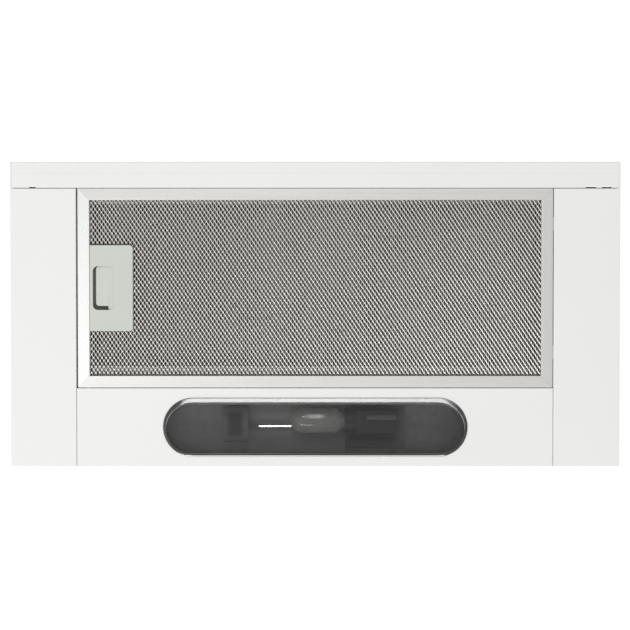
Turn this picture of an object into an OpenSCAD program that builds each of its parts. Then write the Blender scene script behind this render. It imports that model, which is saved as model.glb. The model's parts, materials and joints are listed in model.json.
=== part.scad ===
// Telescopic under-cabinet range hood, pushed in. A fascia and a shallow tray run on ball slides
// inside a flat steel body, and a motor box with a double-inlet blower stands on the body's deck.
// X runs across the hood, -Y is the front, +Y is the wall and Z points up. The origin is the
// centre of the four cabinet screw holes, on the top face of the deck.

/* [Overall] */
// Width over the fascia
hood_w = 600; // [580:10:900]
// Depth from the fascia's face to the wall
hood_d = 300; // [290:5:360]
// Height of the flat body, from its underside to the deck's top face
body_h = 52; // [50:1:66]
// Thickness of the steel sheet
sheet_t = 1; // [0.8:0.1:1.2]
// How far each side of the body stands inside the end of the fascia
body_inset = 0; // [0:0.5:3]

/* [Underside] */
// Width of the plain panel on each side of the filter
side_panel_w = 64.5; // [56:0.5:80]
// Depth of the lamp panel behind the filter
lamp_panel_d = 77; // [70:1:95]
// Height of the turned-up edges of the underside
lip_h = 9; // [7:0.5:10]

/* [Fascia] */
// Depth of the fascia
fascia_d = 25.5; // [22:0.5:32]
// Height of the fascia
fascia_h = 50; // [44:1:52]
// Wall of the fascia
fascia_t = 1.2; // [1:0.1:2]
// Depth of the front panel, before the carrier behind it begins
fascia_panel_d = 11.3; // [9:0.1:15]
// Thickness of each end cap
end_cap_t = 1.6; // [1:0.2:3]

/* [Grease filter] */
// Thickness of the filter cassette
filter_t = 8; // [7:0.5:9]
// Width of the frame's face
frame_bar_w = 11.8; // [9:0.1:15]
// Thickness of the frame's aluminium
frame_bar_t = 0.9; // [0.7:0.1:1.2]
// Opening angle when the filter swings down to be taken out
filter_swing = 45; // [30:5:45]

/* [Latch] */
// Width of the latch plate, across the hood
latch_w = 42.3; // [40:0.5:52]
// Length of the latch plate, front to back
latch_d = 84.5; // [70:0.5:105]
// Width of the finger pocket
pocket_w = 20.6; // [18:0.2:21]
// Length of the finger pocket
pocket_d = 43.2; // [34:0.2:52]
// How far the latch is pulled to free the filter
latch_travel = 6; // [4:0.5:6]

/* [Lamp] */
// Length of the lens
lens_w = 300.5; // [240:0.5:380]
// Width of the lens
lens_d = 58; // [48:0.5:62]
// Diameter of the bulb's glass
bulb_dia = 25; // [20:0.5:30]

/* [Pull-out tray] */
// How far the fascia and the tray pull out
tray_travel = 180; // [120:5:190]
// Height of the tray
tray_h = 21.5; // [20:0.5:24]
// Room across the hood for each ball slide
slide_room = 11; // [10:0.5:14]
// Radius of the slide's balls
ball_r = 1.7; // [1.4:0.1:2]

/* [Motor box] */
// Height of the motor box
motor_box_h = 130; // [126:1:200]
// Depth of the motor box
motor_box_d = 250; // [200:5:260]
// Width of the deck left free on each side of the motor box
deck_ledge = 55; // [50:1:70]
// Radius of the impeller
impeller_r = 46; // [38:1:48]
// Width of the impeller
impeller_w = 100; // [70:2:104]
// Number of blades
blade_count = 30; // [20:1:36]

/* [Outlet] */
// Outer radius of the duct collar
collar_r = 60; // [50:1:62]
// Height of the duct collar
collar_h = 42; // [38:1:60]
// Opening angle of the backdraught flaps
flap_swing = 75; // [60:5:80]

/* [Mounting] */
// Distance of the cabinet screws from the ends of the fascia
screw_inset = 30; // [26:1:36]
// Spacing of the cabinet screws, front to back
screw_spacing_y = 190; // [150:5:230]
// Radius of the cabinet screw holes
screw_hole_r = 2.5; // [2:0.1:3.5]
// Bore radius of the mains cable gland
gland_bore_r = 4.2; // [3:0.1:5]

/* [Controls] */
// Travel of the speed slider
speed_travel = 18; // [12:1:22]
// Travel of the light switch
light_travel = 6; // [4:0.5:8]

/* [Clearances] */
// Gap between the fascia and the fixed body
fascia_gap = 0.7; // [0.5:0.1:2]
// Gap between the filter and the left-hand panel
filter_side_gap = 1.4; // [1.4:0.1:2]
// Gap between the filter and the right-hand panel, over whose edge it hinges
hinge_gap = 0.6; // [0.6:0.1:1]
// Gap in front of and behind the filter
filter_end_gap = 0.5; // [0.4:0.1:1.5]
// Gap between pieces that slide past each other
slide_gap = 0.3; // [0.3:0.05:0.5]
// Radial gap of a turning shaft or hinge
bearing_gap = 0.05; // [0.02:0.01:0.1]
// Seam between two fixed panels
seam = 0.3; // [0.2:0.1:0.6]

/* [Hidden] */

$fn = 48;
eps = 0.01;

// Places across the hood
body_x = hood_w / 2 - body_inset;
wall_x = body_x - sheet_t;
open_x = body_x - side_panel_w;
filter_x = open_x - filter_side_gap;
hinge_x = filter_x + hinge_gap;
tray_x = wall_x - slide_room;

// Places along the depth
y_front = -hood_d / 2;
y_back = hood_d / 2;
y_fascia = y_front + fascia_d;
y_body = y_fascia + fascia_gap;
y_lamp = y_back - lamp_panel_d;
filter_y0 = y_fascia + filter_end_gap;
filter_y1 = y_lamp - filter_end_gap;
filter_len = filter_y1 - filter_y0;
filter_cy = (filter_y0 + filter_y1) / 2;
tray_y1 = y_lamp - 1;
arm_y1 = y_back - 9;

// Heights above the underside
filter_z = 0.8;
filter_top = filter_z + filter_t;
tray_z = filter_top + 3.7;
tray_top = tray_z + tray_h;
crossbar_z = tray_top + 2;

// The motor box stands on the deck, near the wall
box_x = hood_w / 2 - deck_ledge;
box_y1 = y_back - 5;
box_y0 = box_y1 - motor_box_d;
box_cy = (box_y0 + box_y1) / 2;

// Filter hinge: lugs on the filter reach over the edge of the right-hand panel
hinge_z = sheet_t + 0.35;
lug_w = 14;
lug_reach = 6;
lug_y = [filter_y0 + 35, filter_y1 - 35];

// Latch, next to the left bar of the filter
latch_y = filter_cy;
latch_x0 = -filter_x + frame_bar_w + 0.2;
pocket_x0 = latch_x0 + 2.8;
pocket_x1 = pocket_x0 + pocket_w;
pocket_wall = 1;
pocket_r = 5;
plate_z = filter_z + 0.1;
plate_t = 1.4;
tongue_z = filter_top + slide_gap;
tongue_t = 1.1;
tongue_w = 16;
guide_t = 0.8;
guide_z = tongue_z + tongue_t + slide_gap;
post_x = pocket_x1 + pocket_wall + latch_travel + 7;
post_t = 1.5;
post_half = 6;
spring_z = 5.6;

// Filter layers
mesh_z = plate_z + plate_t + slide_gap;
mesh_top = filter_top - frame_bar_t - 0.1;
mesh_skin = 1.2;
mesh_inset = frame_bar_t + 0.3;
mesh_cut_x = post_x + 2;

// Tray filter
tray_filter_x = filter_x - 2;
tray_filter_y0 = y_body + 3;
tray_filter_y1 = tray_y1 - 8;
tray_rim = 8;

// Ball slides
rail_t = 1;
rail_z0 = tray_z + 2.5;
rail_h = tray_h - 3.5;
ball_room = 2 * ball_r + 2 * slide_gap;
inner_z0 = rail_z0 + rail_t + ball_room;
inner_h = rail_h - 2 * rail_t - 2 * ball_room;
rail_y0 = y_body + 2;
rail_y1 = arm_y1;
cage_len = rail_y1 - rail_y0 - tray_travel;
cage_y0 = rail_y0 + tray_travel / 2;

// Lamp
lens_y = y_back - lamp_panel_d / 2;
lens_rim = 2.2;
lens_rim_t = 0.9;
lamp_box_x = lens_w / 2 + 14;
lamp_box_h = body_h - sheet_t - 10;
bulb_y = lens_y - 5;
bulb_z = 21;
bulb_x0 = -25;
bulb_x1 = 27;
cap_r = 6.9;
cap_len = 24;
holder_r = 13;
holder_len = 40;
reflector_x0 = -68;
reflector_x1 = 30;

// Controls, on the right of the crossbar and hidden by the fascia when it is pushed in
control_x = body_x - 84;
bezel_w = 90;
bezel_z0 = crossbar_z + 2;
bezel_z1 = body_h - sheet_t - 2;
bezel_t = 2;
stem_w = 4;
speed_x = control_x - 30;
light_x = control_x + 22;

// Blower
plastic_t = 1.5;
blower_x = impeller_w / 2 + 8;
blower_z = impeller_r + 20;
mouth_r = collar_r - 2;
blower_y = box_cy - (mouth_r - impeller_r);
scroll_gap = 5;
cut_z = impeller_r * 0.54;
scroll_r0 = norm([impeller_r, cut_z]);
scroll_r1 = 2 * mouth_r - impeller_r;
cut_angle = 180 - atan(cut_z / impeller_r);
scroll_top = motor_box_h - sheet_t;
inlet_r = impeller_r - 8;
motor_r = impeller_r - 16;
shaft_r = 4;

// Outlet
collar_t = 1.5;
collar_in = collar_r - collar_t;
pin_z = motor_box_h + 18;
pin_r = 1.5;
knuckle_r = 2.8;
flap_t = 1;

// Places of the marks in the gap behind the fascia, measured in from its ends
rail_windows_right = [[9, 18], [24, 34]];
rail_windows_left = [[19, 25]];

// Heights above the underside, for what hangs below the deck
module above_bottom() translate([0, 0, -body_h]) children();

// Right-hand geometry, mirrored when side is -1
module on_side(side) mirror([side < 0 ? 1 : 0, 0, 0]) children();

// A block between two corners
module span(low, high) translate(low) cube(high - low);

// A flat shape with two round ends, length along X
module stadium(length, width, height)
{
    straight = (length - width) / 2;
    linear_extrude(height) {
        square([2 * straight, width], center = true);
        for (x = [-straight, straight]) translate([x, 0]) circle(d = width, $fn = 96);
    }
}

// A block with rounded vertical corners on the chosen sides
module rounded(low, high, radius)
{
    size = high - low;
    translate(low) linear_extrude(size[2]) {
        translate([radius, 0]) square([size[0] - 2 * radius, size[1]]);
        translate([0, radius]) square([size[0], size[1] - 2 * radius]);
        for (x = [radius, size[0] - radius], y = [radius, size[1] - radius])
            translate([x, y]) circle(radius);
    }
}

module white_paint() color([0.92, 0.93, 0.92]) children();
module steel() color([0.72, 0.72, 0.71]) children();
module aluminium() color([0.84, 0.84, 0.83]) children();
module dark_plastic() color([0.2, 0.2, 0.2]) children();

// ---- Flat body ----

module underside_panel(side, edge_seam)
{
    inner_x = side > 0 ? hinge_x : open_x;
    notch = side > 0
        ? [for (y = lug_y) [y - lug_w / 2 - 1, y + lug_w / 2 + 1, sheet_t]]
        : [[latch_y - 9, latch_y + 9, 4]];
    white_paint() above_bottom() on_side(side) {
        span([inner_x, y_body, 0], [body_x - edge_seam, y_back, sheet_t]);
        span([inner_x, y_body, 0], [wall_x, y_body + sheet_t, 5]);
        span([wall_x - sheet_t, y_body, 0], [wall_x, y_back - sheet_t, lip_h]);
        difference() {
            span([inner_x, y_body, 0], [inner_x + sheet_t, y_back - sheet_t, lip_h]);
            for (n = notch)
                span([inner_x - 1, n[0], n[2]], [inner_x + sheet_t + 1, n[1], lip_h + 1]);
        }
    }
}

module underside_panel_left() underside_panel(-1, 0);
module underside_panel_right() underside_panel(1, sheet_t);

screw_head_r = 3;
screw_shank_r = 1.5;
screw_y = [y_body + 25, 0, y_back - 25];
screw_z = body_h - sheet_t - 4;
lid_screw_r = 3.5;
lid_screw_x = [-box_x + 12, 0.55 * box_x, box_x - 12];
lid_screw_y = [box_y0 + 6, box_y1 - 6];

module side_wall(side)
{
    low = side < 0 ? sheet_t : 0;
    white_paint() above_bottom() on_side(side) difference() {
        span([wall_x, y_body, low], [body_x, y_back, body_h - sheet_t]);
        for (y = screw_y)
            translate([wall_x - 1, y, screw_z]) rotate([0, 90, 0])
                cylinder(r = screw_head_r, h = sheet_t + 2);
    }
}

module side_wall_left() side_wall(-1);
module side_wall_right() side_wall(1);

// Six screws hold the side walls to the deck, and six more hold the lid of the motor box
module body_screws()
{
    steel() {
        above_bottom() for (side = [-1, 1], y = screw_y)
            on_side(side) translate([wall_x, y, screw_z]) rotate([0, 90, 0]) {
                cylinder(r = screw_head_r, h = sheet_t * 0.9);
                translate([0, 0, -8]) cylinder(r = screw_shank_r, h = 8 + eps);
            }
        for (x = lid_screw_x, y = lid_screw_y)
            translate([x, y, motor_box_h]) cylinder(r = lid_screw_r, h = 1.8);
    }
}

module body_back()
{
    white_paint() above_bottom()
        span([-wall_x, y_back - sheet_t, sheet_t], [wall_x, y_back, body_h - sheet_t]);
}

screw_x = hood_w / 2 - screw_inset;
plenum_low = [-box_x + 30, box_y0 + 20];
plenum_high = [box_x - 30, y_lamp - 5];
lead_hole = [box_x - 60, y_lamp + 8];
lead_hole_r = 5;

module deck()
{
    flange_z = body_h - 9;
    white_paint() above_bottom() difference() {
        union() {
            span([-body_x, y_body, body_h - sheet_t], [body_x, y_back, body_h]);
            for (side = [-1, 1])
                on_side(side)
                    span([wall_x - sheet_t, y_body + sheet_t, flange_z],
                         [wall_x, y_back - sheet_t, body_h]);
            span([-wall_x, y_back - 2 * sheet_t, flange_z],
                 [wall_x, y_back - sheet_t, body_h]);
        }
        for (x = [-screw_x, screw_x], y = [-screw_spacing_y / 2, screw_spacing_y / 2])
            translate([x, y, body_h - sheet_t - 1]) cylinder(r = screw_hole_r, h = sheet_t + 2);
        span([plenum_low[0], plenum_low[1], body_h - sheet_t - 1],
             [plenum_high[0], plenum_high[1], body_h + 1]);
        translate([lead_hole[0], lead_hole[1], body_h - sheet_t - 1])
            cylinder(r = lead_hole_r, h = sheet_t + 2);
        for (side = [-1, 1], y = screw_y)
            on_side(side) translate([wall_x - 5, y, screw_z]) rotate([0, 90, 0])
                cylinder(r = screw_shank_r, h = 6);
    }
}

module front_crossbar()
{
    top = body_h - sheet_t;
    steel() above_bottom() difference() {
        union() {
            span([-wall_x + sheet_t, y_body, crossbar_z], [wall_x - sheet_t, y_body + sheet_t, top]);
            span([-wall_x + sheet_t, y_body, crossbar_z],
                 [wall_x - sheet_t, y_body + 10, crossbar_z + sheet_t]);
        }
        span([control_x - bezel_w / 2 + 4, y_body - 1, bezel_z0 + 1.5],
             [control_x + bezel_w / 2 - 4, y_body + sheet_t + 1, bezel_z1 - 1.5]);
    }
}

// ---- Lamp ----

module lamp_panel()
{
    left = -open_x + seam;
    right = hinge_x - seam;
    white_paint() above_bottom() difference() {
        union() {
            span([left, y_lamp, 0], [right, y_back, sheet_t]);
            span([left, y_lamp, 0], [right, y_lamp + sheet_t, lip_h]);
            for (x = [left, right - sheet_t])
                span([x, y_lamp, 0], [x + sheet_t, y_back - sheet_t, lip_h]);
        }
        translate([0, lens_y, -1])
            stadium(lens_w - 2 * lens_rim, lens_d - 2 * lens_rim, sheet_t + 2);
    }
}

module lamp_lens()
{
    glass_t = 2;
    skirt_h = 8;
    plug = 2 * (lens_rim + slide_gap);
    color([0.3, 0.3, 0.29]) above_bottom() translate([0, lens_y, 0]) {
        difference() {
            union() {
                translate([0, 0, -lens_rim_t]) stadium(lens_w, lens_d, lens_rim_t);
                stadium(lens_w - plug, lens_d - plug, skirt_h);
                for (x = [-lens_w / 3, lens_w / 3], side = [-1, 1])
                    mirror([0, side < 0 ? 1 : 0, 0])
                        span([x - 6, lens_d / 2 - lens_rim - 2, sheet_t + 0.2],
                             [x + 6, lens_d / 2 - lens_rim + 0.8, sheet_t + 1.8]);
            }
            translate([0, 0, glass_t - lens_rim_t])
                stadium(lens_w - plug - 3, lens_d - plug - 3, skirt_h + 1);
        }
    }
}

module lamp_housing()
{
    y0 = y_lamp + 2;
    y1 = y_back - 4;
    steel() above_bottom() {
        span([-lamp_box_x, y0, sheet_t], [lamp_box_x, y0 + sheet_t, lamp_box_h]);
        span([-lamp_box_x, y1 - sheet_t, sheet_t], [lamp_box_x, y1, lamp_box_h]);
        span([-lamp_box_x, y0, lamp_box_h - sheet_t], [lamp_box_x, y1, lamp_box_h]);
    }
}

module lamp_reflector()
{
    rim_z = 10;
    wall = 0.6;
    half = lens_d / 2 - 3;
    depth = lamp_box_h - sheet_t - rim_z - 2;
    color([0.66, 0.67, 0.67]) above_bottom() translate([reflector_x0, lens_y, rim_z]) rotate([90, 0, 90])
        linear_extrude(reflector_x1 - reflector_x0) polygon(concat(
            [for (a = [180:-12:0]) [half * cos(a), depth * sin(a)]],
            [for (a = [0:12:180]) [(half - wall) * cos(a), (depth - wall) * sin(a)]]));
}

module lampholder()
{
    dark_plastic() above_bottom() translate([bulb_x1, bulb_y, bulb_z]) {
        difference() {
            translate([2, 0, 0]) rotate([0, 90, 0]) cylinder(r = holder_r, h = holder_len);
            translate([1, 0, 0]) rotate([0, 90, 0]) cylinder(r = cap_r + slide_gap, h = cap_len + 4);
        }
        // The terminals below, and the foot that holds it to the housing's roof
        span([14, -10, -holder_r - 0.5], [holder_len + 12, 12, -cap_r - slide_gap]);
        span([18, -8, holder_r - 5], [holder_len - 2, 8, lamp_box_h - sheet_t - bulb_z]);
    }
}

module lamp_bulb()
{
    r = bulb_dia / 2;
    length = bulb_x1 - bulb_x0;
    neck = 6;
    color([0.93, 0.93, 0.9]) above_bottom() translate([bulb_x0, bulb_y, bulb_z]) rotate([0, 90, 0])
        rotate_extrude() union() {
            translate([0, r]) square([r, length - r - neck]);
            intersection() {
                translate([0, r]) circle(r);
                square([r, r]);
            }
            polygon([[0, length - neck], [r, length - neck], [cap_r, length + 2], [0, length + 2]]);
            translate([0, length + 2]) square([cap_r, cap_len]);
        }
}

// ---- Grease filter ----

// A mitred bar of the frame, along X, with its outer edge on y = 0
module frame_bar(length, width, height, thick)
{
    top_leg = width * 0.8;
    intersection() {
        translate([-length / 2, 0, 0]) rotate([90, 0, 90]) linear_extrude(length)
            polygon([[0, 0], [width, 0], [width, thick + 0.5], [width - thick, thick + 0.5],
                     [width - thick, thick], [thick, thick], [thick, height - thick],
                     [top_leg, height - thick], [top_leg, height], [0, height]]);
        linear_extrude(height)
            polygon([[-length / 2, 0], [length / 2, 0],
                     [length / 2 - width, width], [-length / 2 + width, width]]);
    }
}

module filter_bar(place, turn, length)
{
    aluminium() above_bottom() translate([place[0], place[1], filter_z]) rotate(turn)
        frame_bar(length, frame_bar_w, filter_t, frame_bar_t);
}

module filter_frame_front() filter_bar([0, filter_y0], 0, 2 * filter_x);
module filter_frame_rear() filter_bar([0, filter_y1], 180, 2 * filter_x);
module filter_frame_left() filter_bar([-filter_x, filter_cy], -90, filter_len);
module filter_frame_right() filter_bar([filter_x, filter_cy], 90, filter_len);

module filter_layer(low, high)
{
    x = filter_x - mesh_inset;
    color([0.56, 0.55, 0.53]) above_bottom() difference() {
        span([-x, filter_y0 + mesh_inset, low], [x, filter_y1 - mesh_inset, high]);
        span([-filter_x, latch_y - pocket_d / 2 - 3, low - 1],
             [mesh_cut_x, latch_y + pocket_d / 2 + 3, high + 1]);
    }
}

module filter_mesh_lower() filter_layer(mesh_z, mesh_z + mesh_skin);
module filter_mesh_pack() filter_layer(mesh_z + mesh_skin, mesh_top - mesh_skin);
module filter_mesh_upper() filter_layer(mesh_top - mesh_skin, mesh_top);

module filter_lugs()
{
    leg = 0.8;
    steel() above_bottom() for (y = lug_y) {
        span([filter_x, y - lug_w / 2, hinge_z], [hinge_x + lug_reach, y + lug_w / 2, hinge_z + 1]);
        span([filter_x, y - lug_w / 2, hinge_z], [filter_x + leg, y + lug_w / 2, filter_top - 1.5]);
    }
}

module latch_plate()
{
    y0 = latch_y - pocket_d / 2;
    y1 = latch_y + pocket_d / 2;
    roof = tongue_z - 1.4;
    color([0.8, 0.81, 0.78]) above_bottom() {
        difference() {
            union() {
                rounded([latch_x0, latch_y - latch_d / 2, plate_z],
                        [latch_x0 + latch_w, latch_y + latch_d / 2, plate_z + plate_t], 3.5);
                span([latch_x0, latch_y - latch_d / 2, plate_z],
                     [latch_x0 + 6, latch_y + latch_d / 2, plate_z + plate_t]);
                rounded([pocket_x0 - pocket_wall, y0 - pocket_wall, plate_z],
                        [pocket_x1 + pocket_wall, y1 + pocket_wall, tongue_z], pocket_r + 1);
            }
            rounded([pocket_x0, y0, plate_z - 1], [pocket_x1, y1, roof], pocket_r);
        }
        span([-open_x + 0.5, latch_y - tongue_w / 2, tongue_z],
             [pocket_x1, latch_y + tongue_w / 2, tongue_z + tongue_t]);
    }
}

module latch_guide()
{
    half = tongue_w / 2 + 1;
    leg = 3;
    steel() above_bottom() {
        span([-filter_x + 1, latch_y - half - leg, guide_z],
             [post_x + post_t, latch_y + half + leg, guide_z + guide_t]);
        for (side = [-1, 1])
            translate([0, latch_y, 0]) mirror([0, side < 0 ? 1 : 0, 0])
                span([-filter_x + 1, half, filter_top], [-filter_x + 7, half + leg, guide_z + eps]);
        span([post_x, latch_y - post_half, mesh_z + 1],
             [post_x + post_t, latch_y + post_half, guide_z + eps]);
        span([post_x, latch_y - post_half, mesh_top],
             [post_x + 8, latch_y + post_half, mesh_top + guide_t]);
    }
}

// A round wire bent along points, each ring square to the path
function ring_at(p, d, r, n) =
    let(side = cross(abs(d[2]) < 0.9 * norm(d) ? [0, 0, 1] : [1, 0, 0], d), u = side / norm(side),
        v = cross(d, u) / norm(d))
    [for (i = [0:n - 1]) p + r * (cos(360 * i / n) * u + sin(360 * i / n) * v)];

module wire(points, r, n)
{
    last = len(points) - 1;
    rings = [for (i = [0:last])
        ring_at(points[i], points[min(i + 1, last)] - points[max(i - 1, 0)], r, n)];
    skin = [for (i = [0:last - 1], j = [0:n - 1])
        [i * n + j, (i + 1) * n + j, (i + 1) * n + (j + 1) % n, i * n + (j + 1) % n]];
    ends = [[for (j = [0:n - 1]) j], [for (j = [n - 1:-1:0]) last * n + j]];
    polyhedron([for (ring = rings) each ring], concat(skin, ends), convexity = 8);
}

module latch_spring()
{
    x0 = pocket_x1 + pocket_wall + 0.4;
    x1 = post_x - 0.4;
    turns = 6;
    steps = 12;
    coil_r = 1.5;
    steel() above_bottom() translate([0, latch_y, spring_z])
        wire([for (i = [0:turns * steps])
            [x0 + (x1 - x0) * i / (turns * steps),
             coil_r * cos(360 * i / steps), coil_r * sin(360 * i / steps)]], 0.25, 6);
}

// A bent leaf on the left panel whose hook catches under the latch's tongue
module catch_spring()
{
    leaf = 0.6;
    half = 7;
    x = open_x + sheet_t + 0.4;
    hook_z = tongue_z - 0.2;
    steel() above_bottom() mirror([1, 0, 0]) translate([0, latch_y, 0]) {
        span([x, -half, sheet_t], [x + 2 * half, half, sheet_t + leaf]);
        span([x, -half, sheet_t], [x + leaf, half, hook_z]);
        span([filter_x + slide_gap, -half, hook_z - leaf], [x + leaf, half, hook_z]);
    }
}

// ---- Fascia ----

module rail_windows(side, windows)
{
    on_side(side) for (w = windows)
        span([hood_w / 2 - w[1], y_fascia - 1.8, -1], [hood_w / 2 - w[0], y_fascia + 1, tray_z]);
}

module fascia_panel()
{
    x = hood_w / 2 - end_cap_t;
    y1 = y_front + fascia_panel_d;
    white_paint() above_bottom() {
        span([-x, y_front, 0], [x, y_front + fascia_t, fascia_h]);
        span([-x, y_front, 0], [x, y1, fascia_t]);
        span([-x, y_front, fascia_h - fascia_t], [x, y1, fascia_h]);
    }
}

module fascia_carrier()
{
    x = hood_w / 2 - end_cap_t;
    y0 = y_front + fascia_panel_d;
    white_paint() above_bottom() difference() {
        union() {
            span([-x, y0, 0.15], [x, y_fascia, fascia_t + 0.15]);
            span([-x, y0, fascia_t], [x, y0 + fascia_t, tray_top]);
            span([-x, y_fascia - fascia_t, 0.15], [x, y_fascia, tray_top]);
        }
        rail_windows(1, rail_windows_right);
        rail_windows(-1, rail_windows_left);
    }
}

module fascia_ends()
{
    x = hood_w / 2;
    white_paint() above_bottom() for (side = [-1, 1]) on_side(side) {
        span([x - end_cap_t, y_front, 0], [x, y_front + fascia_panel_d, fascia_h]);
        span([x - end_cap_t, y_front, 0], [x, y_fascia, tray_top]);
        span([x - end_cap_t - 6, y_front + fascia_t, fascia_t],
             [x - end_cap_t + eps, y_front + fascia_t + 2, fascia_h - fascia_t]);
    }
}

// ---- Pull-out tray ----

module tray_floor()
{
    x = tray_x - sheet_t;
    steel() above_bottom() difference() {
        union() {
            span([-x, y_fascia, tray_z], [x, tray_y1, tray_z + sheet_t]);
            span([-x, y_fascia, tray_z], [x, y_fascia + sheet_t, tray_top - sheet_t]);
        }
        span([-tray_filter_x + tray_rim, tray_filter_y0 + tray_rim, tray_z - 1],
             [tray_filter_x - tray_rim, tray_filter_y1 - tray_rim, tray_z + sheet_t + 1]);
    }
}

module tray_cover()
{
    x = tray_x - sheet_t;
    steel() above_bottom() {
        span([-x, y_fascia, tray_top - sheet_t], [x, tray_y1, tray_top]);
        span([-x, tray_y1 - sheet_t, tray_top - 6], [x, tray_y1, tray_top]);
    }
}

module tray_arm(side)
{
    steel() above_bottom() on_side(side)
        span([tray_x - sheet_t, y_fascia, tray_z], [tray_x, arm_y1, tray_top]);
}

module tray_arm_left() tray_arm(-1);
module tray_arm_right() tray_arm(1);

module tray_filter_frame()
{
    length = tray_filter_y1 - tray_filter_y0;
    cy = (tray_filter_y0 + tray_filter_y1) / 2;
    sides = [[0, tray_filter_y0, 0, 2 * tray_filter_x], [0, tray_filter_y1, 180, 2 * tray_filter_x],
             [-tray_filter_x, cy, -90, length], [tray_filter_x, cy, 90, length]];
    aluminium() above_bottom() for (s = sides)
        translate([s[0], s[1], tray_z + sheet_t]) rotate(s[2])
            frame_bar(s[3], frame_bar_w, filter_t, frame_bar_t);
}

module tray_filter_mesh()
{
    z0 = tray_z + sheet_t + frame_bar_t + 0.6;
    color([0.56, 0.55, 0.53]) above_bottom()
        span([-tray_filter_x + mesh_inset, tray_filter_y0 + mesh_inset, z0],
             [tray_filter_x - mesh_inset, tray_filter_y1 - mesh_inset, z0 + 5]);
}

// ---- Ball slides ----

module rail_outer(side)
{
    lip_x = tray_x + rail_t + slide_gap;
    top = rail_z0 + rail_h;
    steel() above_bottom() on_side(side) {
        span([wall_x - rail_t, rail_y0, rail_z0], [wall_x, rail_y1, top]);
        for (z = [rail_z0, top - rail_t])
            span([lip_x, rail_y0, z], [wall_x, rail_y1, z + rail_t]);
    }
}

module rail_outer_left() rail_outer(-1);
module rail_outer_right() rail_outer(1);

ball_x = tray_x + 4.5;
ball_z = [rail_z0 + rail_t + ball_room / 2, rail_z0 + rail_h - rail_t - ball_room / 2];

module rail_cage(side)
{
    strip = 0.4;
    web_x = wall_x - rail_t - slide_gap - strip;
    balls = 6;
    steel() above_bottom() on_side(side) {
        span([web_x, cage_y0, ball_z[0] - strip / 2],
             [web_x + strip, cage_y0 + cage_len, ball_z[1] + strip / 2]);
        for (z = ball_z) {
            span([ball_x - 2, cage_y0, z - strip / 2], [web_x + strip, cage_y0 + cage_len, z + strip / 2]);
            for (i = [0:balls - 1])
                translate([ball_x, cage_y0 + cage_len * (i + 0.5) / balls, z]) sphere(ball_r, $fn = 24);
        }
    }
}

module rail_cage_left() rail_cage(-1);
module rail_cage_right() rail_cage(1);

module rail_inner(side)
{
    reach = wall_x - rail_t - 2 * slide_gap - 0.4;
    top = inner_z0 + inner_h;
    steel() above_bottom() on_side(side) {
        span([tray_x, rail_y0, inner_z0], [tray_x + rail_t, rail_y1, top]);
        for (z = [inner_z0, top - rail_t])
            span([tray_x, rail_y0, z], [reach, rail_y1, z + rail_t]);
    }
}

module rail_inner_left() rail_inner(-1);
module rail_inner_right() rail_inner(1);

// ---- Controls ----

slot_z = (bezel_z0 + bezel_z1) / 2;

module control_bezel()
{
    dark_plastic() above_bottom() difference() {
        union() {
            span([control_x - bezel_w / 2, y_body - bezel_t, bezel_z0],
                 [control_x + bezel_w / 2, y_body, bezel_z1]);
            span([control_x - bezel_w / 2 + 4.2, y_body - eps, bezel_z0 + 1.7],
                 [control_x + bezel_w / 2 - 4.2, y_body + sheet_t, bezel_z1 - 1.7]);
        }
        for (slot = [[speed_x, speed_travel], [light_x, light_travel]])
            span([slot[0] - stem_w / 2 - 0.5, y_body - bezel_t - 1, slot_z - 1.5],
                 [slot[0] + slot[1] + stem_w / 2 + 0.5, y_body + sheet_t + 1, slot_z + 1.5]);
    }
}

module switch_block()
{
    dark_plastic() above_bottom()
        span([control_x - bezel_w / 2 + 6, y_body + sheet_t + 1.4, bezel_z0],
             [control_x + bezel_w / 2 - 6, y_body + 18, bezel_z1]);
}

// A slider: a ribbed cap in front of the bezel on a stem that passes through its slot
module slider(x, width)
{
    y1 = y_body - bezel_t - slide_gap;
    above_bottom() {
        span([x - width / 2, y1 - 1.6, bezel_z0 + 1.4], [x + width / 2, y1, bezel_z1 - 1.4]);
        for (rib = [-0.3, 0, 0.3])
            span([x + rib * width - 0.6, y1 - 3.4, bezel_z0 + 1.8],
                 [x + rib * width + 0.6, y1, bezel_z1 - 1.8]);
        span([x - stem_w / 2, y1 - eps, slot_z - 1.1],
             [x + stem_w / 2, y_body + sheet_t + 0.9, slot_z + 1.1]);
    }
}

module speed_knob() color([0.85, 0.86, 0.85]) slider(speed_x, 12);
module light_knob() color([0.85, 0.86, 0.85]) slider(light_x, 10);

// ---- Motor box ----

module motor_box_front()
{
    steel() {
        span([-box_x, box_y0, 0], [box_x, box_y0 + sheet_t, motor_box_h - sheet_t]);
        span([-box_x + 2, box_y0, 0], [box_x - 2, box_y0 + 9, sheet_t]);
    }
}

module motor_box_back()
{
    steel() {
        span([-box_x, box_y1 - sheet_t, 0], [box_x, box_y1, motor_box_h - sheet_t]);
        span([-box_x + 2, box_y1 - 9, 0], [box_x - 2, box_y1, sheet_t]);
    }
}

module motor_box_side(side)
{
    steel() on_side(side)
        span([box_x - sheet_t, box_y0 + sheet_t, 0], [box_x, box_y1 - sheet_t, motor_box_h - sheet_t]);
}

module motor_box_left() motor_box_side(-1);
module motor_box_right() motor_box_side(1);

gland_x = box_x - 45;
gland_y = box_y1 - 45;
gland_r = gland_bore_r + 4;

module motor_box_top()
{
    low = motor_box_h - sheet_t;
    steel() difference() {
        span([-box_x, box_y0, low], [box_x, box_y1, motor_box_h]);
        translate([0, box_cy, low - 1]) cylinder(r = collar_in, h = sheet_t + 2, $fn = 96);
        translate([gland_x, gland_y, low - 1]) cylinder(r = gland_r, h = sheet_t + 2);
    }
}

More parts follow.
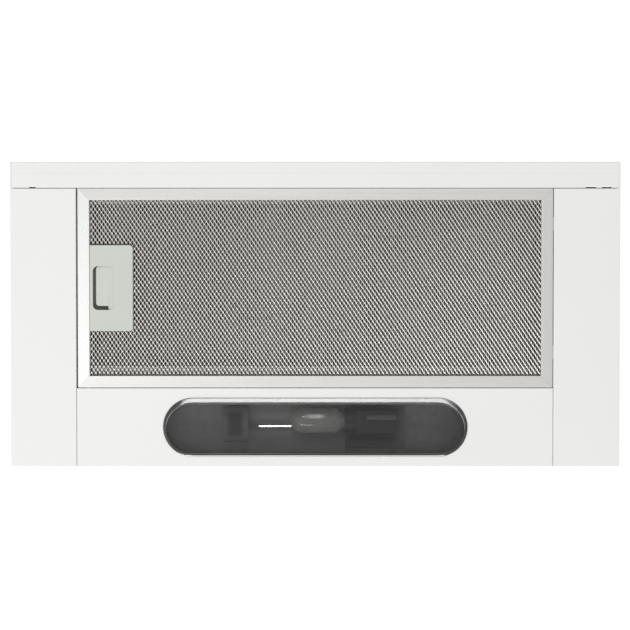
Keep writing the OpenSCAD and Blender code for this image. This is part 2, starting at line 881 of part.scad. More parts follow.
module cable_gland()
{
    dark_plastic() translate([gland_x, gland_y, motor_box_h]) difference() {
        union() {
            translate([0, 0, -8]) cylinder(r = gland_r, h = 20);
            cylinder(r = gland_r + 3, h = 4);
        }
        translate([0, 0, -9]) cylinder(r = gland_bore_r, h = 22);
    }
}

// ---- Blower ----

// Section of the scroll seen along X: a spiral from the cut-off round to a straight mouth
function scroll_outline(grow, top) = concat(
    [[-impeller_r - grow, top]],
    [for (i = [0:36])
        let(a = cut_angle + (360 - cut_angle) * i / 36,
            r = scroll_r0 + (scroll_r1 - scroll_r0) * i / 36 + grow)
        [r * cos(a), r * sin(a)]],
    [[scroll_r1 + grow, top]]);

module scroll(side)
{
    top = scroll_top - blower_z;
    color([0.25, 0.26, 0.27]) translate([0, blower_y, blower_z]) on_side(side) difference() {
        rotate([90, 0, 90]) linear_extrude(blower_x) polygon(scroll_outline(plastic_t, top));
        translate([-1, 0, 0]) rotate([90, 0, 90]) linear_extrude(blower_x - plastic_t + 1)
            polygon(scroll_outline(0, top + 1));
        translate([blower_x - plastic_t - 1, 0, 0]) rotate([0, 90, 0])
            cylinder(r = inlet_r, h = plastic_t + 2, $fn = 96);
    }
}

module scroll_left() scroll(-1);
module scroll_right() scroll(1);

motor_x0 = -blower_x - 16;
motor_x1 = -8;

module motor_body()
{
    color([0.6, 0.6, 0.6]) translate([0, blower_y, blower_z]) rotate([0, 90, 0]) difference() {
        union() {
            translate([0, 0, motor_x0]) cylinder(r = motor_r, h = motor_x1 - motor_x0 - 4);
            translate([0, 0, motor_x1 - 4 - eps]) cylinder(r = 9, h = 4);
            translate([0, 0, motor_x0 - 4]) cylinder(r = 9, h = 4 + eps);
        }
        translate([0, 0, motor_x0 + 10]) cylinder(r = shaft_r + bearing_gap, h = motor_x1 - motor_x0);
    }
}

module motor_bracket()
{
    x1 = -blower_x;
    arm_len = inlet_r + 12;
    arm_w = 12;
    plate = 2;
    steel() translate([x1 - 2 * plate, blower_y, blower_z]) rotate([0, 90, 0]) {
        difference() {
            union() {
                cylinder(r = motor_r + 4, h = plate);
                for (a = [0, 120, 240])
                    rotate(a) translate([0, -arm_w / 2, 0]) cube([arm_len, arm_w, plate]);
            }
            translate([0, 0, -1]) cylinder(r = motor_r, h = plate + 2);
        }
        for (a = [0, 120, 240])
            rotate(a) translate([arm_len - arm_w / 2, 0, plate - eps])
                cylinder(r = arm_w / 2 - 1, h = plate + eps);
    }
}

module impeller()
{
    ring_in = impeller_r - 8;
    half = impeller_w / 2;
    color([0.3, 0.31, 0.32]) translate([0, blower_y, blower_z]) rotate([0, 90, 0]) {
        translate([0, 0, motor_x1 + slide_gap]) cylinder(r = 8, h = 14 - slide_gap);
        translate([0, 0, motor_x0 + 11]) cylinder(r = shaft_r, h = -motor_x0);
        cylinder(r = impeller_r - 0.5, h = 2);
        for (z = [-half, half - 3]) translate([0, 0, z]) difference() {
            cylinder(r = impeller_r, h = 3);
            translate([0, 0, -1]) cylinder(r = ring_in, h = 5);
        }
        for (i = [0:blade_count - 1])
            rotate(360 * i / blade_count) translate([0, 0, -half + 1]) linear_extrude(impeller_w - 2)
                polygon([[ring_in + 0.6, -1.6], [impeller_r - 3, -0.2], [impeller_r - 0.6, 2.4],
                         [impeller_r - 0.9, 3], [impeller_r - 3.4, 0.7], [ring_in + 0.4, -0.8]]);
    }
}

module capacitor()
{
    color([0.8, 0.8, 0.78]) translate([0.6 * box_x, box_y0 + 60, sheet_t]) {
        cylinder(r = 14, h = 52);
        translate([0, 0, 51]) for (x = [-4, 4]) translate([x - 1, -3, 0]) cube([1, 6, 10]);
    }
}

// ---- Outlet ----

module outlet_collar()
{
    base = motor_box_h;
    color([0.25, 0.26, 0.27]) translate([0, box_cy, base]) {
        difference() {
            union() {
                cylinder(r = collar_r + 12, h = 2, $fn = 96);
                cylinder(r = collar_r, h = collar_h, $fn = 96);
            }
            translate([0, 0, -1]) cylinder(r = collar_in, h = collar_h + 2, $fn = 96);
        }
        difference() {
            translate([0, 0, pin_z - base - 3]) cylinder(r = collar_in + eps, h = 1.8, $fn = 96);
            translate([0, 0, pin_z - base - 4]) cylinder(r = collar_in - 3, h = 4, $fn = 96);
        }
        translate([-collar_in - 0.5, 0, pin_z - base]) rotate([0, 90, 0])
            cylinder(r = pin_r, h = 2 * collar_in + 1, $fn = 24);
    }
}

// A half disc on its own two knuckles round the pin; front is side 1, back is side -1
module damper_flap(side, knuckles)
{
    reach = collar_in - 1;
    color([0.3, 0.31, 0.32]) translate([0, box_cy, pin_z]) difference() {
        union() {
            intersection() {
                translate([0, 0, -flap_t / 2]) cylinder(r = reach, h = flap_t, $fn = 96);
                span([-reach, side > 0 ? -reach : knuckle_r + 0.6, -1],
                     [reach, side > 0 ? -knuckle_r - 0.6 : reach, 1]);
            }
            for (k = knuckles) {
                translate([k[0], 0, 0]) rotate([0, 90, 0])
                    cylinder(r = knuckle_r, h = k[1] - k[0], $fn = 32);
                span([k[0], side > 0 ? -knuckle_r - 2 : 0, -flap_t / 2],
                     [k[1], side > 0 ? 0 : knuckle_r + 2, flap_t / 2]);
            }
        }
        translate([-reach, 0, 0]) rotate([0, 90, 0])
            cylinder(r = pin_r + bearing_gap, h = 2 * reach, $fn = 24);
    }
}

module damper_flap_front() damper_flap(1, [[-45, -25], [5, 25]]);
module damper_flap_back() damper_flap(-1, [[-20, 0], [30, 50]]);

underside_panel_left();
underside_panel_right();
side_wall_left();
side_wall_right();
body_back();
deck();
front_crossbar();
body_screws();
lamp_panel();
lamp_lens();
lamp_housing();
lamp_reflector();
lampholder();
lamp_bulb();
filter_frame_front();
filter_frame_rear();
filter_frame_left();
filter_frame_right();
filter_mesh_lower();
filter_mesh_pack();
filter_mesh_upper();
filter_lugs();
latch_plate();
latch_guide();
latch_spring();
catch_spring();
fascia_panel();
fascia_carrier();
fascia_ends();
tray_floor();
tray_cover();
tray_arm_left();
tray_arm_right();
tray_filter_frame();
tray_filter_mesh();
rail_outer_left();
rail_outer_right();
rail_cage_left();
rail_cage_right();
rail_inner_left();
rail_inner_right();
control_bezel();
switch_block();
speed_knob();
light_knob();
motor_box_front();
motor_box_back();
motor_box_left();
motor_box_right();
motor_box_top();
cable_gland();
scroll_left();
scroll_right();
motor_body();
motor_bracket();
impeller();
outlet_collar();
damper_flap_front();
damper_flap_back();
capacitor();
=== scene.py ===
# %% [markdown]
# # A pull-out range hood, seen from below
# The shape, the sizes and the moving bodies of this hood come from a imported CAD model, the frame.
# This file gives the frame its looks. Every CAD piece stays where it is: the script rounds the edges
# that a press brake or a mould would round, weaves the real filter mesh, shapes the lens, and gives
# each finish a material made of nodes.

# %% Load the frame
import json
import math

import bpy
import bmesh
import numpy as np
from mathutils import Matrix, Vector


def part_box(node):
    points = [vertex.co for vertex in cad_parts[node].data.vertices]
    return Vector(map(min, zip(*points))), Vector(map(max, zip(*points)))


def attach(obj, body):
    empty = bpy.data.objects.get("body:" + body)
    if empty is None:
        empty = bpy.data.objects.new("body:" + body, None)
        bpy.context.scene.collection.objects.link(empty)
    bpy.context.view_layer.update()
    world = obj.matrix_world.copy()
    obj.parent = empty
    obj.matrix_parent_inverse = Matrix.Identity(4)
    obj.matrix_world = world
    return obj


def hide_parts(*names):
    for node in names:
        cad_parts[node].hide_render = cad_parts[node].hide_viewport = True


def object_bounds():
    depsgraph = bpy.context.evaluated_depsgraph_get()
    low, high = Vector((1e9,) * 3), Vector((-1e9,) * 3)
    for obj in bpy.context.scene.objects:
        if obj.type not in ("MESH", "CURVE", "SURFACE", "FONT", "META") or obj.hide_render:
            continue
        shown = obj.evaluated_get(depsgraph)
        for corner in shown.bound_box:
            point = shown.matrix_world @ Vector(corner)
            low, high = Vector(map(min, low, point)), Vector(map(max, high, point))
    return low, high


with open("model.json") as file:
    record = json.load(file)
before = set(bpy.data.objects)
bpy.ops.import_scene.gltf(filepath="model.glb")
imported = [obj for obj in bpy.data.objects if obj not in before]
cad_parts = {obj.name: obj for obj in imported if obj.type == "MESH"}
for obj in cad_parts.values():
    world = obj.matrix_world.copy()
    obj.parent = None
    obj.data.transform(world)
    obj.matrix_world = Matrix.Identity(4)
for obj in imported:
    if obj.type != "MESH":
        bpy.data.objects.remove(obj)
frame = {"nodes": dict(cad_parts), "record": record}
cad_lo, cad_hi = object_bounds()
nodes = frame["nodes"]
body_of = {
    node: body for body, members in frame["record"]["behaviour"]["bodies"].items() for node in members
}
MM = 0.001
print("CAD box, mm:", [round(v / MM, 1) for v in cad_lo], [round(v / MM, 1) for v in cad_hi])

# %% [markdown]
# ## Where things are
# Sizes are read from the frame and not typed in again, so the looks follow the design. Axis 0 goes
# across the hood, axis 1 from front to back and axis 2 up.

# %% Places read from the frame
under_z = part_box("lamp_panel")[0].z
hood_front, hood_back = cad_lo.y, cad_hi.y
filter_lo = Vector((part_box("filter_frame_left")[0].x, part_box("filter_frame_front")[0].y, under_z))
filter_hi = Vector((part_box("filter_frame_right")[1].x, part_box("filter_frame_rear")[1].y, under_z))
bar_lo, bar_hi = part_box("filter_frame_front")
bar_width = bar_hi.y - bar_lo.y
lens_lo, lens_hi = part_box("lamp_lens")
plate_lo, plate_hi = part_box("latch_plate")
print("filter, mm:", [round(v / MM, 1) for v in filter_hi - filter_lo], "bars", round(bar_width / MM, 1))

# %% [markdown]
# ## Camera, floor and light
# The hood is looked at from straight below, from about the height of a hob. The camera stands a
# little to the front of the middle and is aimed at the middle, so the rear edge looks slightly
# narrower than the front. A long lens at two metres keeps the faces flat-on.
#
# White enamel and metal show what is round them, so the room does most of the work: the world and the
# floor are white, and broad panels below the hood make the left and the wall side brighter. Two narrow
# strips are far brighter than the room. They light the strands of the mesh and give the metal its glints,
# so how bright each side of the hood looks depends on them as well as on its finish.

# %% Camera
CAMERA_DROP = 2.0  # below the underside
CAMERA_FORWARD = 0.0657  # in front of the middle
VIEW_WIDTH = 0.6201  # what the view covers across the underside
AIM_SHIFT = (-0.0003, 0.0007)  # from the hood's middle, across and along

camera_data = bpy.data.cameras.new("camera")
camera = bpy.data.objects.new("camera", camera_data)
bpy.context.scene.collection.objects.link(camera)
bpy.context.scene.camera = camera
target = Vector((AIM_SHIFT[0], (hood_front + hood_back) / 2 + AIM_SHIFT[1], under_z))
camera.location = target + Vector((0, -CAMERA_FORWARD, -CAMERA_DROP))
looking = (target - camera.location).normalized()
right = Vector((1, 0, 0))
camera.rotation_mode = "QUATERNION"
camera.rotation_quaternion = Matrix((right, right.cross(looking), -looking)).transposed().to_quaternion()
camera_data.lens = camera_data.sensor_width * CAMERA_DROP / VIEW_WIDTH
print("lens", round(camera_data.lens, 1), "mm")

# %% Floor
FLOOR_DROP = 2.7  # below the underside
FLOOR_HALF = 9.0  # half of its side
corners = ((-1, -1), (1, -1), (1, 1), (-1, 1))
floor_mesh = bpy.data.meshes.new("floor")
floor_mesh.from_pydata([(x * FLOOR_HALF, y * FLOOR_HALF, under_z - FLOOR_DROP) for x, y in corners],
                       [], [(0, 1, 2, 3)])
floor = bpy.data.objects.new("floor", floor_mesh)
bpy.context.scene.collection.objects.link(floor)

# %% Lights
def soft_panel(name, place, aim, size, radiance):
    """A flat light that stands at a place, points at another and can't be seen itself. Size is across
    and along in metres, and radiance is how bright its face is, where the room is about 1."""
    data = bpy.data.lights.new(name, "AREA")
    data.shape = "RECTANGLE"
    data.size, data.size_y = size
    data.energy = radiance * math.pi * size[0] * size[1]
    light = bpy.data.objects.new(name, data)
    light.location = place
    light.rotation_mode = "QUATERNION"
    light.rotation_quaternion = (Vector(aim) - Vector(place)).to_track_quat("-Z", "Y")
    light.visible_camera = False
    bpy.context.scene.collection.objects.link(light)
    return light


middle = (0, 0, under_z)
# Each light's name, its place, the point it aims at, its size and its radiance
LIGHTS = (
    ("panel_left", (-1.5, 0.8, -1.9), middle, (1.2, 1.2), 1.5),
    ("panel_near", (-0.56, 0.12, -2.05), middle, (0.5, 0.5), 1.4),
    ("strip_rear", (-0.32, 1.76, -2.1), (-0.32, 0.1, under_z), (1.34, 0.34), 14),
    ("strip_front", (-0.1, -1.44, -2.0), (0, 0.1, under_z), (0.2, 0.26), 55),
    ("panel_above", (-1.3, -1.7, 2.4), (0, 0, 0.1), (1.6, 1.6), 4),
)
lights = {row[0]: soft_panel(*row) for row in LIGHTS}
strip_front = lights["strip_front"]

# %% White room
ROOM_STRENGTH = 0.66  # what lights the hood
SEEN_STRENGTH = 1.05  # what the camera sees past it
world = bpy.data.worlds.new("white_room")
bpy.context.scene.world = world
world.use_nodes = True
sky = world.node_tree.nodes["Background"]
sky.inputs["Color"].default_value = (1, 1, 1, 1)
path = world.node_tree.nodes.new("ShaderNodeLightPath")
strength = world.node_tree.nodes.new("ShaderNodeMapRange")
strength.inputs["To Min"].default_value = ROOM_STRENGTH
strength.inputs["To Max"].default_value = SEEN_STRENGTH
world.node_tree.links.new(path.outputs["Is Camera Ray"], strength.inputs["Value"])
world.node_tree.links.new(strength.outputs["Result"], sky.inputs["Strength"])
bpy.context.scene.view_settings.view_transform = "Standard"
print("lights:", list(lights))

# %% [markdown]
# ## Shader maths as expressions
# A node tree is easier to read as a formula. `Value` wraps one output of a node, and its operators
# add Math nodes. `Finish` is one material round one Principled shader: `node` makes any node in one
# call, `set` fills the inputs of the shader, and the other methods are the patterns used again below.

# %% Shader helpers
class Value:
    """One output of a shader node. Arithmetic on it adds Math nodes."""

    def __init__(self, finish, socket):
        self.finish, self.socket = finish, socket

    def math(self, operation, *terms):
        return self.finish.node("ShaderNodeMath", {"operation": operation}, *terms)

    def __add__(self, other):
        return self.math("ADD", self, other)

    def __radd__(self, other):
        return self.math("ADD", other, self)

    def __sub__(self, other):
        return self.math("SUBTRACT", self, other)

    def __rsub__(self, other):
        return self.math("SUBTRACT", other, self)

    def __mul__(self, other):
        return self.math("MULTIPLY", self, other)

    def __rmul__(self, other):
        return self.math("MULTIPLY", other, self)

    def between(self, low, high):
        """Rises from 0 to 1 as this value goes from low to high."""
        smooth = {"interpolation_type": "SMOOTHSTEP"}
        return self.finish.node("ShaderNodeMapRange", smooth, self, low, high)


class Finish:
    """A material round one Principled shader."""

    def __init__(self, name):
        self.material = bpy.data.materials.new(name)
        self.material.use_nodes = True
        self.tree = self.material.node_tree
        self.shader = self.tree.nodes["Principled BSDF"]
        self.place = self.node("ShaderNodeTexCoord", out="Object")

    def feed(self, socket, value):
        if isinstance(value, Value):
            self.tree.links.new(value.socket, socket)
        elif isinstance(value, (tuple, list)):
            socket.default_value = (tuple(value) + (1.0,))[:len(socket.default_value)]
        else:
            socket.default_value = value

    def node(self, kind, settings=None, *values, out=0, **named):
        """Makes a node: its settings first, then its inputs in order, then its inputs by name."""
        made = self.tree.nodes.new(kind)
        for key, setting in (settings or {}).items():
            if key == "stops":
                ramp = made.color_ramp.elements
                while len(ramp) < len(setting):
                    ramp.new(0.5)
                for element, (position, colour) in zip(ramp, setting):
                    element.position, element.color = position, colour
            else:
                setattr(made, key, setting)
        for socket, value in zip(made.inputs, values):
            self.feed(socket, value)
        for key, value in named.items():
            self.feed(made.inputs[key.replace("_", " ")], value)
        return Value(self, made.outputs[out])

    def set(self, **inputs):
        """Fills inputs of the shader: base_color is Base Color, and so on."""
        for key, value in inputs.items():
            self.feed(self.shader.inputs[key.replace("_", " ").title().replace("Ior", "IOR")], value)
        return self

    def noise(self, scale, detail=2.0, stretch=(1, 1, 1), roughness=0.5):
        """Noise with so many cells to the metre, from 0 to 1."""
        where = self.node("ShaderNodeMapping", None, Vector=self.place, Scale=stretch)
        return self.node("ShaderNodeTexNoise", None, Vector=where, Scale=scale, Detail=detail,
                         Roughness=roughness)

    def blend(self, amount, low, high):
        """A colour that goes from low to high."""
        made = self.tree.nodes.new("ShaderNodeMix")
        made.data_type = "RGBA"
        for index, value in ((0, amount), (6, low), (7, high)):
            self.feed(made.inputs[index], value)
        return Value(self, made.outputs[2])

    def bumped(self, height, depth, strength=1.0):
        """Tilts the shader's normal as a height from 0 to 1, so many metres deep, would."""
        self.feed(self.shader.inputs["Normal"],
                  self.node("ShaderNodeBump", None, Strength=strength, Distance=depth, Height=height))
        return self


# %% [markdown]
# ## Finishes
# **White enamel** is powder paint baked on steel: near white, half gloss, with a fine orange peel from
# the way the powder flows, and a very slight unevenness in tone.
# **Moulded plastic** is duller, with an even spark-eroded grain.
# **Shaded** surfaces, deep behind the lens, are dark in the middle and pale round the edge. That shade is
# part of the finish and stays on the piece from every side. It stands in for depth that isn't modelled.

# %% Paint and plastics
def enamel(name, shade=0.84, tone=(1.0, 1.0, 0.985)):
    """Baked powder paint on steel."""
    finish = Finish(name)
    cloud = finish.noise(7, 3)
    peel = finish.noise(900, 2)
    low = tuple(shade * 0.975 * part for part in tone)
    high = tuple(shade * 1.015 * part for part in tone)
    finish.set(base_color=finish.blend(cloud, low, high), roughness=0.33 + 0.08 * finish.noise(60, 2),
               specular_ior_level=0.5)
    return finish.bumped(peel, 0.02 * MM, 0.5)


def moulding(name, colour, roughness=0.45, grain=0.02, relief=1600):
    """Injection-moulded plastic with a fine grain."""
    finish = Finish(name)
    cloud = finish.noise(25, 3)
    low = tuple(0.94 * c for c in colour)
    high = tuple(min(1.0, 1.05 * c) for c in colour)
    finish.set(base_color=finish.blend(cloud, low, high),
               roughness=roughness - 0.05 + 0.1 * finish.noise(140, 2))
    return finish.bumped(finish.noise(relief, 2), grain * MM, 0.6)


def painted_fade(name, low, high, edge, dark, light, roughness=0.55, clear=False):
    """A dull finish that paints shade or a highlight: one grey in the middle of a box, another at its
    edges. With clear, it also fades away towards the edges."""
    finish = Finish(name)
    sides = [finish.node("ShaderNodeSeparateXYZ", None, finish.place, out=axis) for axis in (0, 1)]
    depth = [
        side.between(low[i], low[i] + edge[i]) * (1 - side.between(high[i] - edge[i], high[i]))
        for i, side in enumerate(sides)
    ]
    finish.set(base_color=finish.blend(depth[0] * depth[1], (light,) * 3, (dark,) * 3),
               roughness=roughness + 0.1 * finish.noise(90, 3))
    if clear:
        finish.set(alpha=depth[0] * depth[1])
    return finish


white_paint = enamel("white_enamel")
white_plastic = moulding("white_moulding", (0.80, 0.80, 0.79), 0.42)
# The lens ledge's pale grey is a painted highlight.
ledge_painted_highlight = moulding("lens_ledge_painted_highlight", (0.36, 0.36, 0.355), 0.35)
pocket_shade = moulding("pocket_shade", (0.10, 0.105, 0.09), 0.6)
foam_grey = moulding("foam_grey", (0.40, 0.40, 0.40), 0.8)
lamp_grey = moulding("terminal_grey", (0.16, 0.16, 0.155), 0.4)
grey_plastic = moulding("grey_moulding", (0.60, 0.62, 0.57), 0.5, 0.03)
black_plastic = moulding("black_moulding", (0.035, 0.036, 0.038), 0.48, 0.03)
floor_finish = moulding("pale_floor", (0.80, 0.80, 0.80), 0.8, 0.2, 30)
floor_mesh.materials.append(floor_finish.material)
print("paint and plastics:", [m.name for m in bpy.data.materials])

# %% [markdown]
# **Zinc-coated steel** carries a spangle: flat crystals of zinc a few millimetres across, each with its
# own tilt and tone. Cells of a Voronoi pattern give each crystal one value.
# **Brushed aluminium** has fine scratches along the bar, so noise is stretched a hundred times along it.
# **Rolled strip**, for the slides and springs, is smooth with faint rolling lines.

# %% Metals
def zinc(name, colour=(0.60, 0.61, 0.61), size=140):
    """Hot-dip galvanised sheet with its spangle."""
    finish = Finish(name)
    warp = finish.noise(90, 2)
    crystal = finish.node("ShaderNodeTexVoronoi", None, out="Color", Vector=finish.place, Scale=size,
                          Randomness=1.0)
    split = finish.node("ShaderNodeSeparateColor", None, crystal)
    tone = 0.6 * split + 0.4 * warp
    low, high = (tuple(c * part for c in colour) for part in (0.82, 1.12))
    finish.set(base_color=finish.blend(tone, low, high), metallic=1.0, roughness=0.34 + 0.16 * tone)
    return finish.bumped(split, 0.02 * MM, 0.35)


def brushed(name, colour, along, roughness=0.34, scratch=0.6):
    """Metal brushed along one axis: 0 is across the hood and 1 is front to back."""
    finish = Finish(name)
    stretch = tuple(0.012 if axis == along else 1.0 for axis in range(3))
    fine = finish.noise(2600, 2, stretch)
    broad = finish.noise(420, 3, stretch)
    mark = 0.6 * fine + 0.4 * broad
    low, high = (tuple(min(1.0, c * part) for c in colour) for part in (0.93, 1.05))
    finish.set(base_color=finish.blend(mark, low, high), metallic=1.0,
               roughness=roughness - 0.06 + 0.14 * mark)
    return finish.bumped(mark, 0.012 * MM, scratch)


zinc_steel = zinc("zinc_sheet")
# The lamp housing's zinc is painted darker than the zinc elsewhere: painted shade for the inside of the
# lamp.
shaded_zinc = zinc("lamp_zinc_painted_shade", (0.38, 0.38, 0.38))
rail_steel = brushed("rail_strip", (0.66, 0.67, 0.68), 1, 0.26, 0.3)
spring_steel = brushed("spring_strip", (0.42, 0.42, 0.43), 0, 0.28, 0.3)
# One aluminium in two greys: the bars along the hood are painted lighter and the bars across it darker, as
# painted light and shade.
bar_across_painted_dim = brushed("frame_brushed_across_painted_dim", (0.80, 0.80, 0.79), 0)
bar_along_painted_bright = brushed("frame_brushed_along_painted_bright", (0.84, 0.84, 0.83), 1)

motor_iron = Finish("motor_lacquer")
sheets = motor_iron.node("ShaderNodeTexWave", {"wave_type": "BANDS", "bands_direction": "X"},
                         Vector=motor_iron.place, Scale=600.0, Distortion=0.0)
tone = 0.7 * sheets + 0.3 * motor_iron.noise(200, 3)
motor_iron.set(base_color=motor_iron.blend(tone, (0.10, 0.10, 0.105), (0.30, 0.30, 0.31)),
               metallic=0.8, roughness=0.38 + 0.12 * motor_iron.noise(300, 2))
motor_iron.bumped(sheets, 0.1 * MM, 0.6)

# %% [markdown]
# **Filter mesh** is bare rolled aluminium, dulled by washing: bright on its edges, with grey in between.
# The deeper layers and the tray's mesh get darker greys: painted shade for the depth of the filter.
# **The lens** is a smoked acrylic. Its alpha lets about two thirds of what is behind show through, so the
# bulb, its holder and the reflector are real pieces behind it. Its rim is thicker, so it lets almost
# nothing through.

# %% Mesh, lens and glass
def mesh_metal(name, dull, bright, roughness, spread):
    """Bare foil, dulled by washing; the darker greys given to the inner layers are painted shade."""
    finish = Finish(name)
    wear = finish.noise(160, 3)
    finish.set(base_color=finish.blend(wear, dull, bright), metallic=1.0,
               roughness=roughness + spread * wear)
    return finish.bumped(finish.noise(2400, 2), 0.02 * MM, 0.4)


mesh_aluminium = mesh_metal("mesh_aluminium", (0.42, 0.405, 0.381), (0.48, 0.463, 0.437), 0.30, 0.12)
# Painted shade: the inner layers get darker greys than the face layer.
mesh_inner_painted_shade = mesh_metal("mesh_aluminium_inner_painted_shade", (0.33, 0.32, 0.302), (0.41, 0.398, 0.378), 0.36, 0.14)

smoked_lens = Finish("smoked_lens")
haze = smoked_lens.noise(30, 3)
smoked_lens.set(base_color=smoked_lens.blend(haze, (0.035, 0.035, 0.034), (0.05, 0.05, 0.048)),
                roughness=0.10 + 0.08 * haze, alpha=0.36 - 0.04 * haze)
smoked_lens.bumped(smoked_lens.noise(220, 2), 0.03 * MM, 0.15)

lens_rim = Finish("polished_lens_rim")
haze = lens_rim.noise(30, 3)
lens_rim.set(base_color=lens_rim.blend(haze, (0.03, 0.03, 0.03), (0.045, 0.045, 0.044)),
             roughness=0.12 + 0.06 * haze, specular_ior_level=0.75, ior=1.55, alpha=0.95 - 0.04 * haze)

bulb_glass = Finish("bulb_glass")
film = bulb_glass.noise(80, 3)
bulb_glass.set(base_color=bulb_glass.blend(film, (0.66, 0.66, 0.64), (0.76, 0.76, 0.74)),
               roughness=0.10 + 0.06 * film, specular_ior_level=1.0, ior=1.6,
               coat_weight=0.8 + 0.1 * film, alpha=0.62 - 0.06 * film)

bright_wire = Finish("bright_wire")
film = bright_wire.noise(60, 2)
bright_wire.set(base_color=bright_wire.blend(film, (0.80, 0.80, 0.79), (0.86, 0.86, 0.85)), metallic=1.0,
                roughness=0.20 + 0.06 * film)

lamp_satin = Finish("lamp_satin")
film = lamp_satin.noise(40, 3)
lamp_satin.set(base_color=lamp_satin.blend(film, (0.42, 0.42, 0.42), (0.50, 0.50, 0.50)), metallic=0.6,
               roughness=0.62 + 0.1 * film)
lamp_satin.bumped(lamp_satin.noise(300, 3), 0.05 * MM, 0.3)

finish_of_slot = {
    "white_paint": white_paint, "white_plastic": white_plastic, "zinc_steel": zinc_steel,
    "rail_steel": rail_steel, "spring_steel": spring_steel, "frame_aluminium": bar_across_painted_dim,
    "mesh_aluminium": mesh_aluminium, "grey_plastic": grey_plastic, "black_plastic": black_plastic,
    "smoked_lens": smoked_lens, "bulb_glass": bulb_glass, "motor_iron": motor_iron,
}
slot_of = {part["node"]: part["material_slot"] for part in frame["record"]["subparts"]}
print("slots in use:", sorted(set(slot_of.values())))

# %% [markdown]
# ## Making pieces
# Every new mesh goes through `piece`: it gets a finish, rides on the CAD body it belongs to, and hides the
# CAD node when it stands in its place.

# %% Making pieces
def piece(name, mesh, finish, node, stands_for=True):
    """Puts a mesh into the scene in the place of a CAD node, or beside it."""
    made = bpy.data.objects.new(name, mesh)
    bpy.context.scene.collection.objects.link(made)
    mesh.materials.clear()
    mesh.materials.append(finish.material)
    if stands_for:
        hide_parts(node)
    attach(made, body_of[node])
    return made


def mesh_from(name, points, faces, smooth_below=40):
    """A closed mesh that is smooth where its faces meet at less than so many degrees."""
    mesh = bpy.data.meshes.new(name)
    mesh.from_pydata(np.asarray(points).tolist(), [], [list(face) for face in faces])
    mesh.update()
    mesh.shade_smooth()
    mesh.set_sharp_from_angle(angle=math.radians(smooth_below))
    return mesh


def closed_mesh(name, points, faces, smooth_below=40):
    """The same, for a closed shape: every face is turned to look outwards."""
    mesh = mesh_from(name, points, faces, smooth_below)
    form = bmesh.new()
    form.from_mesh(mesh)
    bmesh.ops.recalc_face_normals(form, faces=form.faces)
    form.to_mesh(mesh)
    form.free()
    return mesh


def prism(name, outline, low_at, high_z, finish, node):
    """A shape with a flat top at one height and an underside that follows a function of x and y."""
    count = len(outline)
    points = [(x, y, low_at(x, y)) for x, y in outline] + [(x, y, high_z) for x, y in outline]
    faces = [(i, (i + 1) % count, count + (i + 1) % count, count + i) for i in range(count)]
    faces += [tuple(range(count)), tuple(range(2 * count - 1, count - 1, -1))]
    return piece(name, closed_mesh(name, points, faces), finish, node, stands_for=False)


def rounded_outline(corners, steps=6):
    """An outline through (x, y, radius) corners, in order, with each corner rounded."""
    outline = []
    for i, (x, y, radius) in enumerate(corners):
        here = Vector((x, y))
        before = (Vector(corners[i - 1][:2]) - here).normalized()
        after = (Vector(corners[(i + 1) % len(corners)][:2]) - here).normalized()
        for step in range(steps + 1):
            t = step / steps
            outline.append(tuple(here + before * radius * (1 - t) ** 2 + after * radius * t ** 2))
    return outline


# %% [markdown]
# ## Folded and moulded edges
# CAD leaves edges perfectly sharp, and real edges never are: a fold in 1 mm steel has an outside radius
# of a millimetre or more, and a cut edge is broken by a few tenths. Those small radii catch the light as
# thin bright lines, and they are what makes a panel look like sheet metal. `soften` copies a CAD node
# and puts a bevel on it: a wide one on the folds named, and a narrow one on every other sharp edge. A
# fold is named by the two sides of the node's box that it joins, such as "y-z-" for low Y and low Z.

# %% Rounding
NEAR = 0.02 * MM  # this close to a side of the box counts as on it


def is_fold(edge, low, high, folds):
    """True if an edge lies on both of the box sides that a fold names."""
    for fold in folds:
        sides = [("xyz".index(fold[i]), fold[i + 1] == "+") for i in (0, 2)]
        if all(abs(v.co[axis] - (high if top else low)[axis]) < NEAR
               for axis, top in sides for v in edge.verts):
            return True
    return False


def soften(node, cut=0.25, fold=1.3, folds=(), finish=None, steps=3):
    """A copy of a CAD node with rounded folds and broken edges, in mm."""
    form = bmesh.new()
    form.from_mesh(nodes[node].data)
    bmesh.ops.remove_doubles(form, verts=form.verts, dist=0.005 * MM)
    bmesh.ops.dissolve_limit(form, angle_limit=math.radians(0.4), verts=form.verts, edges=form.edges)
    weight = form.edges.layers.float.new("bevel_weight_edge")
    low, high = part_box(node)
    widest = fold if folds else max(cut, 0.01)
    for edge in form.edges:
        if len(edge.link_faces) == 2 and edge.calc_face_angle() > math.radians(50):
            edge[weight] = 1.0 if folds and is_fold(edge, low, high, folds) else cut / widest
    mesh = bpy.data.meshes.new("soft_" + node)
    form.to_mesh(mesh)
    form.free()
    mesh.shade_smooth()
    mesh.set_sharp_from_angle(angle=math.radians(35))
    made = piece("soft_" + node, mesh, finish or finish_of_slot[slot_of[node]], node)
    if cut:
        bevel = made.modifiers.new("edges", "BEVEL")
        bevel.limit_method = "WEIGHT"
        bevel.width = widest * MM
        bevel.segments = steps
        bevel.harden_normals = True
        bevel.use_clamp_overlap = True
    return made


